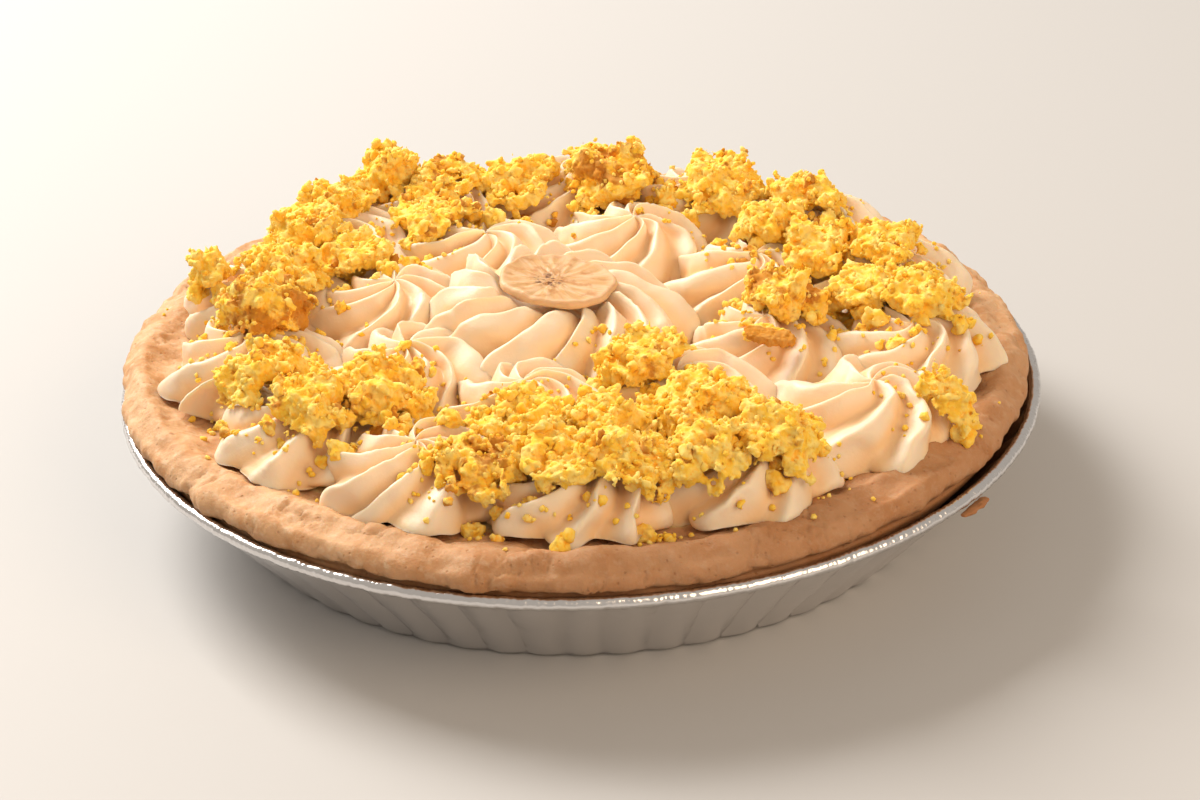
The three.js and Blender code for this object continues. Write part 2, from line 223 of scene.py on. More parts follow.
def mapped(value, low, high, first=0.0, last=1.0, way="LINEAR"):
    """Runs from first to last as value goes from low to high."""
    inputs = {"Value": value, "From Min": low, "From Max": high, "To Min": first, "To Max": last}
    return feed("ShaderNodeMapRange", inputs, interpolation_type=way)[0]


def cloud(place, scale, detail, output="Fac", **more):
    """Noise between 0 and 1. more can be its Roughness, its Distortion or W, which sets it apart."""
    inputs = {"Vector": place, "Scale": scale, "Detail": detail, **more}
    kind = "4D" if "W" in more else "3D"
    return feed("ShaderNodeTexNoise", inputs, noise_dimensions=kind)[output]


def unevenness(place, size, detail=2.0, seed=0.0):
    """Noise between about -1 and 1 whose lumps are of the given size in metres."""
    scale = 1 / size if isinstance(size, float) else calculate("DIVIDE", 1.0, size)
    return calculate("MULTIPLY_ADD", cloud(place, scale, detail, W=seed), 4.0, -2.0)


def stored(tree, name):
    """The number that each point of the geometry carries under a name."""
    return add(tree, "GeometryNodeInputNamedAttribute", {"Name": name}, data_type="FLOAT").outputs[0]


def moved(geometry, offset):
    """A geometry with its points moved."""
    return feed("GeometryNodeSetPosition", {"Geometry": geometry, "Offset": offset})[0]


def outwards(height):
    """A move off the skin by a height."""
    return scaled(add(height.id_data, "GeometryNodeInputNormal").outputs[0], height)


def modifier_tree(name, sizes, others=()):
    """A geometry node tree with an input for each of its sizes, and for the others, each of the
    kind it names. Gives the tree, its inputs and the place of a point."""
    tree = bpy.data.node_groups.new(name, "GeometryNodeTree")
    kinds = {"Geometry": "Geometry", **dict.fromkeys(sizes, "Float"), **dict(others)}
    for socket, kind in kinds.items():
        tree.interface.new_socket(socket, in_out="INPUT", socket_type="NodeSocket" + kind)
    tree.interface.new_socket("Geometry", in_out="OUTPUT", socket_type="NodeSocketGeometry")
    place = add(tree, "GeometryNodeInputPosition").outputs[0]
    return tree, add(tree, "NodeGroupInput").outputs, place


def close_tree(geometry, material):
    """Every tree ends in real mesh with its material on it."""
    real = feed("GeometryNodeRealizeInstances", {0: geometry})[0]
    painted = feed("GeometryNodeSetMaterial", {"Geometry": real, "Material": material})[0]
    feed("NodeGroupOutput", {0: painted})


def apply_tree(made, tree, sizes):
    """Runs a tree on an object with the given sizes, and leaves the result as its plain mesh."""
    modifier = made.modifiers.new(tree.name, "NODES")
    modifier.node_group = tree
    for item in tree.interface.items_tree:
        if item.in_out == "INPUT" and item.name in sizes:
            modifier[item.identifier] = sizes[item.name]
    bpy.context.view_layer.update()
    evaluated = made.evaluated_get(bpy.context.evaluated_depsgraph_get())
    mesh = bpy.data.meshes.new_from_object(evaluated)
    made.modifiers.remove(modifier)
    made.data = mesh
    mesh.polygons.foreach_set("use_smooth", [True] * len(mesh.polygons))


def relief(surface, height, strength, depth):
    """Makes a surface look uneven by a height, at most as deep as depth."""
    bump = feed("ShaderNodeBump", {"Height": height, "Strength": strength, "Distance": depth})[0]
    bump.id_data.links.new(bump, surface.inputs["Normal"])


def around(radius, height, steps):
    """A level ring of points."""
    turns = [step * 2 * math.pi / steps for step in range(steps)]
    return [(radius * math.cos(turn), radius * math.sin(turn), height) for turn in turns]


def between(first, last, count):
    """Rows that lead evenly from one row to the next, without the last one."""
    return [[a + (b - a) * i / count for a, b in zip(first, last)] for i in range(count)]


def pan_section():
    """Rows of radius, height, and how strongly the flutes and the creases show there."""
    bead = PAN_RIM - PAN_BEAD
    top = PAN_BEAD_HEIGHT - 3.7 * MM
    outer = [bead - 3 * MM, top, 1.0, 0.2]
    inner = bead - 3.8 * MM
    inner_foot = PAN_BASE - 1.8 * MM
    rows = [[radius, 0, 0, 0] for radius in (40 * MM, 80 * MM, PAN_BASE - 2 * MM)]
    rows.append([PAN_BASE - 0.8 * MM, 0.4 * MM, 0.35, 0])
    rows += between([PAN_BASE, 1.6 * MM, 0.8, 0.0], outer, 9)
    rows += between(outer, [bead - 1.2 * MM, PAN_BEAD_HEIGHT - 2.1 * MM, 0.3, 0.6], 2)
    for degrees in range(-120, 181, 30):
        out = PAN_BEAD * math.cos(math.radians(degrees))
        up = PAN_BEAD * math.sin(math.radians(degrees))
        rows.append([bead + out, PAN_BEAD_HEIGHT + up, 0.05, 1.0])
    rows += between([bead - 1.9 * MM, PAN_BEAD_HEIGHT - 0.9 * MM, 0.1, 1.0], [inner, top, 1.0, 0.5], 3)
    rows += between([inner, top, 1.0, 0.2], [inner_foot, PAN_FOIL, 0.4, 0], 4)
    return [*rows, [inner_foot, PAN_FOIL, 0.4, 0], [PAN_BASE - 4 * MM, PAN_FOIL, 0, 0]]


pan_rows = pan_section()
pan_mesh = turned_mesh("foil_pan_pressed", [
    (0, 0, 0),
    *(around(radius, height, PAN_STEPS) for radius, height, _, _ in pan_rows),
    (0, 0, PAN_FOIL),
])
for column, attribute in ((2, "fluted"), (3, "creased")):
    store(pan_mesh, attribute, [0, *(row[column] for row in pan_rows for _ in range(PAN_STEPS)), 0])

foil, tree, surface, place = new_material("creased foil", {"Base Color": FOIL_COLOUR, "Metallic": 1.0})
creases = cloud(place, scale=900.0, detail=3.0)
handling = cloud(place, scale=160.0, detail=4.0, Distortion=0.6)
relief(surface, calculate("MULTIPLY_ADD", handling, 2.5, creases), strength=0.16, depth=0.4 * MM)
tree.links.new(mapped(handling, 0.0, 1.0, first=0.14, last=0.32), surface.inputs["Roughness"])

press, sizes, place = modifier_tree("pressed foil", ("Flutes", "Flute depth", "Crimps", "Crimp depth"))
split = feed("ShaderNodeSeparateXYZ", {0: place})
turn = calculate("ARCTAN2", split["Y"], split["X"])
outward = vector_of("NORMALIZE", feed("ShaderNodeCombineXYZ", {0: split["X"], 1: split["Y"]})[0])
sway = unevenness(place, PAN_FLUTE_SWAY)
phase = calculate("MULTIPLY_ADD", sway, 0.35, times(sizes["Flutes"], 0.5, turn))
ribs = calculate("ABSOLUTE", calculate("COSINE", phase))
ribs = calculate("SUBTRACT", times(ribs, 1.6), 1.0)
ribs = calculate("MULTIPLY_ADD", unevenness(place, PAN_BUCKLE), 0.25, ribs)
ribs = times(ribs, stored(press, "fluted"), sizes["Flute depth"], 0.5)
phase = calculate("MULTIPLY_ADD", turn, sizes["Crimps"], times(unevenness(place, PAN_CRIMP_SWAY), 6.0))
crimps = times(calculate("COSINE", phase), 0.35)
crimps = calculate("MULTIPLY_ADD", unevenness(place, PAN_CREASE, 1.0, 4.0), 1.1, crimps)
crimps = times(crimps, stored(press, "creased"), sizes["Crimp depth"])
crimps = calculate("MINIMUM", crimps, PAN_CRIMP_TOP)
pressed = moved(sizes["Geometry"], vector_of("ADD", scaled(outward, ribs), outwards(crimps)))
close_tree(pressed, foil)

pan = new_object("foil_pan_pressed", pan_mesh)
apply_tree(pan, press, {
    "Flutes": PAN_FLUTES, "Flute depth": PAN_FLUTE_DEPTH,
    "Crimps": PAN_CRIMPS, "Crimp depth": PAN_CRIMP_DEPTH,
})
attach(pan, "root")
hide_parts("foil_pan")


# ---- Pastry case ----
# Shortcrust pastry lines the pan, rolled over at the rim, pressed down by thumb and baked, with fine
# cracks, pits and spots. Painted shade darkens the side away from the window and the rim's low outer
# face. The filling that it holds comes up level with its bed, and shows only between the piping.

CRUST_SEGMENTS = 66           # thumb steps round the rim
CRUST_EDGE = 120.8 * MM
CRUST_OVERHANG = 1.6 * MM
CRUST_OVERHANG_AT = 185       # degrees round the rim, as the shrunk place and its reach are
CRUST_SHRUNK = 1.9 * MM
CRUST_SHRUNK_AT = -24
CRUST_SHRUNK_OVER = 34
CRUST_BED = 37 * MM
CRUST_BED_RADIUS = 98 * MM
CRUST_BOTTOM = PAN_FOIL + 0.3 * MM
CRUST_DENT = 2.2 * MM
CRUST_EDGE_DENT = 0.4         # share of a dent that draws the edge in
# The rolled rim cut through, from the outside over the top and in: how far inside the edge and how
# high, in millimetres, and which of the thumb's dents lowers it by how much.
CRUST_RIM = (
    (1.3, 33.3, 0, 0), (0.15, 34.6, 0, 0), (0, 36.2, 0, 0), (0.6, 38.0, 4, 0.25), (1.9, 39.4, 4, 0.5),
    (3.8, 40.9, 5, 0.8), (6.2, 41.9, 5, 1), (9.4, 41.5, 6, 0.9), (12.3, 40.2, 6, 0.8), (17.5, 37.9, 0, 0),
)
CRUST_COLUMNS = 1320
CRUST_ROW = 0.75 * MM         # spacing of the rows where the pastry shows, and where it's hidden
CRUST_HIDDEN_ROW = 6 * MM


def uneven(index, channel):
    """Repeatable unevenness between -1 and 1, the same that shaped the solids."""
    return np.sin(np.asarray(index) * 12.9898 + channel * 78.233 + 0.7)


def crust_dent(turn, channel):
    """How deep the baker's thumb went, at a place counted in thumb steps round the rim."""
    step = np.floor(turn)
    share = turn - step
    share = share * share * (3 - 2 * share)
    before = uneven(step % CRUST_SEGMENTS, channel)
    after = uneven((step + 1) % CRUST_SEGMENTS, channel)
    return CRUST_DENT * (0.5 + 0.5 * (before + (after - before) * share))


def crust_section(turn):
    """The pastry cut through at each place round it: rows of radius, height and how much it shows."""
    degrees = turn * 360 / CRUST_SEGMENTS
    away = np.abs((degrees - CRUST_SHRUNK_AT + 540) % 360 - 180)
    edge = CRUST_EDGE + CRUST_OVERHANG * 0.5 * np.cos(np.radians(degrees - CRUST_OVERHANG_AT))
    edge = edge - CRUST_SHRUNK * np.exp(-((away / CRUST_SHRUNK_OVER) ** 2))
    edge = edge - CRUST_EDGE_DENT * crust_dent(turn, 3)
    wall = PAN_RIM - PAN_BEAD - 3 * MM
    level = np.ones_like(turn)
    return [
        (level * (PAN_BASE - 3.6 * MM), level * CRUST_BOTTOM, 0),
        (level * (PAN_BASE - 1.9 * MM), level * 2.4 * MM, 0),
        (np.minimum(wall - 2 * MM, edge - 4.2 * MM), level * (PAN_BEAD_HEIGHT - 3.7 * MM), 0),
        (np.minimum(wall, edge - 2.4 * MM), level * (PAN_BEAD_HEIGHT + 1.3 * MM), 0.2),
        *((edge - inset * MM, height * MM - share * crust_dent(turn, dent), 1)
          for inset, height, dent, share in CRUST_RIM),
        (level * CRUST_BED_RADIUS, level * CRUST_BED, 1),
    ]


def smooth_rows(rows):
    """Rows of a section on a smooth curve through the given ones, finely spaced where they show."""
    points = np.array([[radius, height, np.full_like(radius, shows)] for radius, height, shows in rows])
    points = np.concatenate([points[:1], points, points[-1:]])
    smooth = []
    for i in range(1, len(points) - 2):
        before, first, last, after = points[i - 1:i + 3]
        length = np.hypot(*(last - first)[:2]).mean()
        shown = last[2][0] + first[2][0] > 0
        count = max(1, round(length / (CRUST_ROW if shown else CRUST_HIDDEN_ROW)))
        for j in range(count):
            t = j / count
            smooth.append(0.5 * (2 * first + (last - before) * t
                                 + (2 * before - 5 * first + 4 * last - after) * t ** 2
                                 + (3 * first - before - 3 * last + after) * t ** 3))
    return [*smooth, points[-1]]


crust_turns = np.arange(CRUST_COLUMNS) * CRUST_SEGMENTS / CRUST_COLUMNS
crust_angle = np.radians(crust_turns * 360 / CRUST_SEGMENTS)
crust_rows = smooth_rows(crust_section(crust_turns))
crust_rings = [
    list(zip(radius * np.cos(crust_angle), radius * np.sin(crust_angle), height))
    for radius, height, _ in crust_rows
]
bed_rings = [around(CRUST_BED_RADIUS * share, CRUST_BED, CRUST_COLUMNS) for share in (0.9, 0.6, 0.3)]
crust_skin = [(0, 0, CRUST_BOTTOM), *crust_rings, *bed_rings, (0, 0, CRUST_BED)]
crust_mesh = turned_mesh("pastry_case", crust_skin)
bed_shows = [0.3] * (len(bed_rings) * CRUST_COLUMNS)
store(crust_mesh, "shows", [0, *(value for row in crust_rows for value in row[2]), *bed_shows, 0])


def crumb_grain():
    """Shader group for baked crumb: a fine grain and sparse pits."""
    group = bpy.data.node_groups.new("baked grain", "ShaderNodeTree")
    for socket, way in (("Grain size", "INPUT"), ("Grain", "OUTPUT"), ("Pits", "OUTPUT")):
        group.interface.new_socket(socket, in_out=way, socket_type="NodeSocketFloat")
    scale = calculate("DIVIDE", 1.0, add(group, "NodeGroupInput").outputs[0])
    place = add(group, "ShaderNodeTexCoord").outputs["Object"]
    grain = cloud(place, scale, detail=4.0, Roughness=0.6)
    cells = feed("ShaderNodeTexVoronoi", {"Vector": place, "Scale": times(scale, 0.55)})
    pits = mapped(cells["Distance"], 0.05, 0.28, first=1.0, last=0.0)
    drawn = feed("ShaderNodeSeparateColor", {0: cells["Color"]})[0]
    feed("NodeGroupOutput", {"Grain": grain, "Pits": times(pits, calculate("GREATER_THAN", drawn, 0.72))})
    return group


baked_grain = crumb_grain()


def ramp(value, low, high):
    """Runs smoothly from 0 to 1 as value goes from low to high."""
    return mapped(value, low, high, way="SMOOTHSTEP")


def stained_or_shaded(colour, *marks):
    """A colour with marks laid on it: real stains, and painted light and shade. Each mark is a mask, how
    strong it gets at most, and its colour.
    """
    for mask, most, tint in marks:
        inputs = {0: times(mask, most), 6: colour, 7: tint}
        colour = feed("ShaderNodeMix", inputs, data_type="RGBA")[2]
    return colour


def from_axis(vector):
    """How far a place is from the upright axis."""
    return vector_of("LENGTH", vector_of("MULTIPLY", vector, (1, 1, 0)), result="Value")


PASTRY_PALE = (0.69, 0.415, 0.22, 1)
PASTRY_TAN = (0.54, 0.27, 0.11, 1)
# Brown for spots and pits, and for the painted shade low on the rim's outer face.
PASTRY_BROWN_AND_SHADE = (0.30, 0.12, 0.04, 1)
PASTRY_SHADED_SIDE = (0.36, 0.15, 0.058, 1)    # painted shade on the side away from the window light
PASTRY_FLOUR = (0.78, 0.57, 0.37, 1)
CUSTARD = (0.78, 0.62, 0.30, 1)

pastry, tree, surface, place = new_material("baked pastry", {
    "Roughness": 0.68, "Specular IOR Level": 0.3, "Subsurface Weight": 0.25,
    "Subsurface Radius": (1.0, 0.45, 0.2), "Subsurface Scale": 1.8 * MM,
})
split = feed("ShaderNodeSeparateXYZ", {0: place})
grain = add(tree, "ShaderNodeGroup", {"Grain size": 0.9 * MM}, node_tree=baked_grain).outputs
broad = cloud(place, scale=75.0, detail=5.0, Roughness=0.6)
mottle = cloud(place, scale=420.0, detail=4.0, Roughness=0.65)
spots = cloud(place, scale=170.0, detail=3.0)
# The way away from the window light, towards the front right: the pastry gets painted shade along it.
away_from_window = calculate("MULTIPLY_ADD", split["X"], 0.7, times(split["Y"], -1.0))
colour = stained_or_shaded(
    PASTRY_PALE,
    (ramp(broad, 0.38, 0.66), 1.0, PASTRY_TAN),
    (ramp(mottle, 0.48, 0.72), 0.55, PASTRY_FLOUR),
    (ramp(spots, 0.66, 0.78), 0.75, PASTRY_BROWN_AND_SHADE),
    # Painted shade on the side away from the window light.
    (ramp(away_from_window, 40 * MM, 140 * MM), 0.6, PASTRY_SHADED_SIDE),
    # Painted shade low on the rim's outer face, where it turns under towards the pan.
    (ramp(split["Z"], 38.5 * MM, 33 * MM), 0.45, PASTRY_BROWN_AND_SHADE),
    (grain["Pits"], 0.5, PASTRY_BROWN_AND_SHADE),
    (ramp(from_axis(place), 100.5 * MM, 98.5 * MM), 1.0, CUSTARD),
)
tree.links.new(colour, surface.inputs["Base Color"])
height = calculate("MULTIPLY_ADD", mottle, 1.6, grain["Grain"])
height = calculate("MULTIPLY_ADD", grain["Pits"], -1.2, height)
relief(surface, height, strength=0.5, depth=0.4 * MM)

BAKING = ("Lump", "Lump depth", "Blister", "Blister depth", "Crack", "Crack depth", "Seed")
CRACK_BEND = 3 * MM           # how far the cracks swerve


def baked_tree():
    """Raises lumps and blisters on a skin and opens fine cracks in it, where it shows."""
    tree, sizes, place = modifier_tree("baking", BAKING)
    lumps = times(unevenness(place, sizes["Lump"], 1.0, sizes["Seed"]), sizes["Lump depth"])
    blisters = times(unevenness(place, sizes["Blister"], 3.0, sizes["Seed"]), sizes["Blister depth"])
    bend = cloud(place, scale=300.0, detail=2.0, output="Color")
    bent = vector_of("MULTIPLY_ADD", bend, (CRACK_BEND, CRACK_BEND, CRACK_BEND), place)
    lines = {"Vector": bent, "Scale": calculate("DIVIDE", 1.0, sizes["Crack"])}
    off_line = feed("ShaderNodeTexVoronoi", lines, feature="DISTANCE_TO_EDGE")["Distance"]
    patches = cloud(place, scale=90.0, detail=1.0)
    cracks = times(ramp(off_line, 0.07, 0.0), ramp(patches, 0.5, 0.62), sizes["Crack depth"])
    total = calculate("SUBTRACT", calculate("ADD", lumps, blisters), cracks)
    close_tree(moved(sizes["Geometry"], outwards(times(total, stored(tree, "shows")))), pastry)
    return tree


baking = baked_tree()
crust = new_object("pastry_case", crust_mesh)
apply_tree(crust, baking, {
    "Lump": 9.5 * MM, "Lump depth": 1.1 * MM, "Blister": 3.4 * MM, "Blister depth": 0.4 * MM,
    "Crack": 7 * MM, "Crack depth": 0.6 * MM, "Seed": 3.0,
})
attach(crust, "root")
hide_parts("crust")


# ---- Piped cream ----
# Whipped cream from a large star tip: eight rosettes round a big one, and fourteen round those. The
# tip leaves a fan of petals, each with a sharp crest that leans over the groove beside it, and the
# twist of the hand lays them over clockwise.

CREAM_FOOT = CRUST_BED + 0.3 * MM
CREST = 2.9 * MM
COLUMNS = 16                  # columns of points across a petal
ROWS = 56
RINGS = {
    "inner": {"count": 8, "distance": 53 * MM, "first": -15, "height": 15 * MM, "twist": 84},
    "outer": {"count": 14, "distance": 86.5 * MM, "first": -12.1, "height": 15.5 * MM, "twist": 88},
}
RING_RADIUS = 22.5 * MM
RING_PETALS = 9
FEWER_PETALS = {"cream_outer_2": 7, "cream_outer_1": 8, "cream_outer_3": 8, "cream_outer_6": 8}
PULL = 2 * MM                 # how far the tip drew a rosette's top sideways as it left it
PULLED = {"cream_outer_2": (5 * MM, 3 * MM)}
# How unlike the rosettes of a ring are in distance, degrees, radius and height.
RING_UNLIKE = (1.2 * MM, 1.3, 0.5 * MM, 0.9 * MM)
# How unlike a rosette's petals are, from the least to the most, and the seed that sets each apart.
PETAL_CREST = (-0.3, 0.35, 0)
PETAL_LENGTH = (-0.07, 0.06, 11)
PETAL_SWING = (-0.11, 0.11, 23)
PETAL_HEIGHT = (-0.05, 0.06, 37)
PETAL_WIDTH = (-0.2, 0.2, 51)
# The crust's inner slope, on which the outer rosettes rest: radius and height where it starts and ends.
SLOPE_FOOT = (98 * MM, 37.3 * MM)
SLOPE_TOP = (108.5 * MM, 40.6 * MM)
CREAM_SAG = (6 * MM, 6 * MM, 3.5 * MM)
CREAM_RIPPLE = 3.5 * MM
CREAM_RIPPLE_DEPTH = 0.08 * MM
CREAM_TEAR = 1.2 * MM         # size of the small tears along a crest
CREAM_TEAR_DEPTH = 0.3 * MM
CREAM_TORN_PATCH = 16 * MM

# The cream's colour is painted light: paler along the crests as a painted highlight, deeper and more
# orange down in the grooves as painted shade.
CREAM_CREST_HIGHLIGHT = (0.86, 0.71, 0.52, 1)
CREAM_GROOVE_SHADE = (0.88, 0.595, 0.325, 1)
cream, tree, surface, place = new_material("whipped cream", {
    "Roughness": 0.42, "Specular IOR Level": 0.35, "Subsurface Weight": 0.5,
    "Subsurface Radius": (1.0, 0.7, 0.4), "Subsurface Scale": 2.4 * MM,
})
crested = add(tree, "ShaderNodeAttribute", attribute_name="crested").outputs["Fac"]
colour = stained_or_shaded(CREAM_GROOVE_SHADE, (ramp(crested, 0.05, 0.75), 1.0, CREAM_CREST_HIGHLIGHT))
tree.links.new(colour, surface.inputs["Base Color"])
pores = cloud(place, scale=1400.0, detail=3.0)
folds = cloud(place, scale=260.0, detail=3.0)
relief(surface, calculate("MULTIPLY_ADD", folds, 2.0, pores), strength=0.22, depth=0.3 * MM)

PIPING = ("X", "Y", "Foot", "Radius", "Height", "Crest", "Twist", "Turned", "Pull X", "Pull Y", "Lean")
# The foot of any petal, from groove to groove.
FOOT_LOBE = ((0, 0), (0.1, 0.4), (0.25, 0.8), (0.45, 1), (0.65, 0.86), (0.88, 0.4), (1, 0))


def curve_of(value, points):
    """A smooth curve through points of (place, value), both from 0 to 1."""
    node = add(value.id_data, "ShaderNodeFloatCurve", {"Value": value})
    curve = node.mapping.curves[0]
    for place, level in points[1:-1]:
        curve.points.new(place, level)
    curve.points[0].location = points[0]
    curve.points[-1].location = points[-1]
    node.mapping.update()
    return node.outputs[0]


def keep(geometry, name, value):
    """A geometry whose points carry a number under a name."""
    inputs = {"Geometry": geometry, "Name": name, "Value": value}
    return feed("GeometryNodeStoreNamedAttribute", inputs, data_type="FLOAT", domain="POINT")[0]


def piping_tree(name, out_points, up_points, sharp_points, across_points):
    """A piped rosette. The first three curves run from its underside's middle (0) over its foot to its
    top (1), and the last one across a petal, anticlockwise from groove to groove."""
    tree, sizes, place = modifier_tree(name, PIPING, {"Petals": "Int", "Seed": "Int"})

    def mixed(share, first, second):
        return feed("ShaderNodeMix", {0: share, 2: first, 3: second}, data_type="FLOAT")[0]

    def petal_random(petal, low, high, seed):
        inputs = {2: low, 3: high, "ID": petal, "Seed": calculate("ADD", sizes["Seed"], seed)}
        return feed("FunctionNodeRandomValue", inputs, data_type="FLOAT")[1]

    # Which row and which petal a point is in, and how far along and across it.
    segments = times(sizes["Petals"], COLUMNS)
    ball = feed("GeometryNodeMeshUVSphere", {"Segments": segments, "Rings": ROWS, "Radius": 1.0})[0]
    index = add(tree, "GeometryNodeInputIndex").outputs[0]
    order = calculate("MAXIMUM", calculate("SUBTRACT", index, 1.0), 0.0)
    row = calculate("FLOOR", calculate("DIVIDE", calculate("ADD", order, 0.5), segments))
    column = calculate("SUBTRACT", order, times(row, segments))
    petal = calculate("FLOOR", calculate("DIVIDE", calculate("ADD", column, 0.5), COLUMNS))
    across = calculate("DIVIDE", calculate("MULTIPLY_ADD", petal, -COLUMNS, column), COLUMNS)
    after = calculate("MODULO", calculate("ADD", petal, 1.0), sizes["Petals"])
    level = feed("ShaderNodeSeparateXYZ", {0: place})["Z"]
    along = calculate("DIVIDE", calculate("ARCCOSINE", times(level, -1.0)), math.pi)

    out = curve_of(along, out_points)
    up = curve_of(along, up_points)
    sharp = curve_of(along, sharp_points)
    section = mixed(ramp(along, 0.4, 0.1), curve_of(across, across_points), curve_of(across, FOOT_LOBE))

    strong, longer, higher = (
        calculate("MULTIPLY_ADD", petal_random(petal, *unlike), section, 1.0)
        for unlike in (PETAL_CREST, PETAL_LENGTH, PETAL_HEIGHT)
    )
    swung = times(petal_random(petal, *PETAL_SWING), section)
    wider = mixed(across, petal_random(petal, *PETAL_WIDTH), petal_random(after, *PETAL_WIDTH))
    rise = calculate("MULTIPLY_ADD", section, 1.9, -1.0)
    ridge = times(rise, sizes["Crest"], strong, sharp)
    steep = calculate("SQRT", calculate("SUBTRACT", 1.0, times(up, up)))

    pitch = calculate("DIVIDE", 2 * math.pi, sizes["Petals"])
    petals_round = calculate("ADD", calculate("ADD", petal, across), wider)
    turn = calculate("MULTIPLY_ADD", petals_round, pitch, sizes["Turned"])
    turn = calculate("MULTIPLY_ADD", calculate("SUBTRACT", swung, sizes["Twist"]), out, turn)
    distance = times(out, sizes["Radius"], longer)
    distance = calculate("MAXIMUM", calculate("MULTIPLY_ADD", ridge, steep, distance), 0.0)
    from_x, from_y = (
        calculate("MULTIPLY_ADD", times(up, up), sizes[pull], times(distance, calculate(wave, turn)))
        for pull, wave in (("Pull X", "COSINE"), ("Pull Y", "SINE"))
    )
    height = calculate("MULTIPLY_ADD", ridge, up, times(up, sizes["Height"], higher))
    height = calculate("SUBTRACT", height, times(from_x, up, sizes["Lean"]))
    x = calculate("ADD", from_x, sizes["X"])
    y = calculate("ADD", from_y, sizes["Y"])
    from_middle = calculate("SQRT", calculate("MULTIPLY_ADD", x, x, times(y, y)))
    slope = mapped(from_middle, SLOPE_FOOT[0], SLOPE_TOP[0], SLOPE_FOOT[1], SLOPE_TOP[1])
    z = calculate("MAXIMUM", calculate("ADD", height, sizes["Foot"]), slope)
    shaped = feed("ShaderNodeCombineXYZ", {0: x, 1: y, 2: z})[0]
    shape = feed("GeometryNodeSetPosition", {"Geometry": ball, "Position": shaped})[0]
    shape = keep(shape, "crested", section)

    sag = cloud(place, scale=80.0, detail=1.0, output="Color")
    sag = vector_of("MULTIPLY", vector_of("SUBTRACT", sag, (0.5, 0.5, 0.5)), CREAM_SAG)
    torn = times(unevenness(place, CREAM_TEAR, 1.0), ramp(stored(tree, "crested"), 0.86, 1.0))
    torn = times(torn, ramp(unevenness(place, CREAM_TORN_PATCH, 0.0), 0.0, 0.5))
    ripples = unevenness(place, CREAM_RIPPLE)
    small = calculate("MULTIPLY_ADD", ripples, CREAM_RIPPLE_DEPTH, times(torn, CREAM_TEAR_DEPTH))
    close_tree(moved(shape, vector_of("ADD", sag, outwards(small))), cream)
    return tree


ring_piping = piping_tree(
    "piped rosette",
    ((0, 0), (0.07, 0.86), (0.13, 0.96), (0.2, 1), (0.33, 0.95), (0.5, 0.8), (0.66, 0.57), (0.83, 0.27),
     (1, 0)),
    ((0, 0), (0.07, 0), (0.13, 0.05), (0.2, 0.17), (0.33, 0.4), (0.5, 0.64), (0.66, 0.84), (0.83, 0.96),
     (1, 1)),
    ((0, 0), (0.07, 0.5), (0.13, 0.75), (0.2, 0.85), (0.5, 0.85), (0.7, 0.7), (0.85, 0.45), (1, 0)),
    ((0, 0), (0.1, 0.07), (0.22, 0.38), (0.34, 0.85), (0.41, 1), (0.48, 0.94), (0.62, 0.66), (0.8, 0.3),
     (0.92, 0.08), (1, 0)),
)
centre_piping = piping_tree(
    "middle rosette",
    ((0, 0), (0.07, 0.88), (0.12, 0.96), (0.18, 1), (0.3, 0.97), (0.45, 0.88), (0.6, 0.72), (0.74, 0.54),
     (0.82, 0.45), (0.9, 0.3), (1, 0)),
    ((0, 0), (0.07, 0), (0.12, 0.04), (0.18, 0.14), (0.3, 0.34), (0.45, 0.58), (0.6, 0.78), (0.74, 0.86),
     (0.82, 0.87), (0.9, 0.68), (1, 0.66)),
    ((0, 0), (0.07, 0.5), (0.12, 0.7), (0.2, 0.8), (0.45, 0.9), (0.7, 0.9), (0.82, 0.85), (0.9, 0.3),
     (1, 0)),
    ((0, 0), (0.07, 0.12), (0.16, 0.5), (0.25, 0.93), (0.29, 1), (0.35, 0.95), (0.55, 0.72), (0.76, 0.42),
     (0.92, 0.12), (1, 0)),
)


def pipe(name, node, tree, sizes):
    """Pipes one rosette in place of its solid."""
    made = new_object(name, bpy.data.meshes.new(name))
    apply_tree(made, tree, {"Foot": CREAM_FOOT, "Crest": CREST, **sizes})
    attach(made, "root")
    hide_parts(node)
    return made


rosettes = [pipe("cream_centre", "rosette_centre", centre_piping, {
    "Petals": 15, "X": -6 * MM, "Y": -1 * MM, "Radius": 36 * MM, "Height": 21.5 * MM,
    "Twist": math.radians(62), "Turned": math.radians(8), "Lean": math.tan(math.radians(6)), "Seed": 1,
})]
for channel, (ring_name, ring) in zip((0, 10), RINGS.items()):
    for k in range(ring["count"]):
        name = f"cream_{ring_name}_{k + 1}"
        draws = [float(uneven(k, channel + i)) for i in range(1, 8)]
        slip, swing, wide, tall = (most * draw for most, draw in zip(RING_UNLIKE, draws))
        turn = math.radians(ring["first"] - k * 360 / ring["count"] + swing)
        distance = ring["distance"] + slip
        pull_x, pull_y = PULLED.get(name, (PULL * draws[5], PULL * draws[6]))
        rosettes.append(pipe(name, f"rosette_{ring_name}_{k + 1}", ring_piping, {
            "Petals": FEWER_PETALS.get(name, RING_PETALS), "Seed": 20 + channel * 3 + k,
            "X": distance * math.cos(turn), "Y": distance * math.sin(turn),
            "Radius": RING_RADIUS + wide, "Height": ring["height"] + tall,
            "Twist": math.radians(ring["twist"]), "Turned": math.radians(180 * draws[4]),
            "Pull X": pull_x, "Pull Y": pull_y,
        }))


# ---- Banana slice ----
# One round slice of banana, dried until it is tan and leathery, laid on top of the middle rosette.
# Drying pulls the flesh into fine wrinkles that run out from the seeds, and lifts the rim.

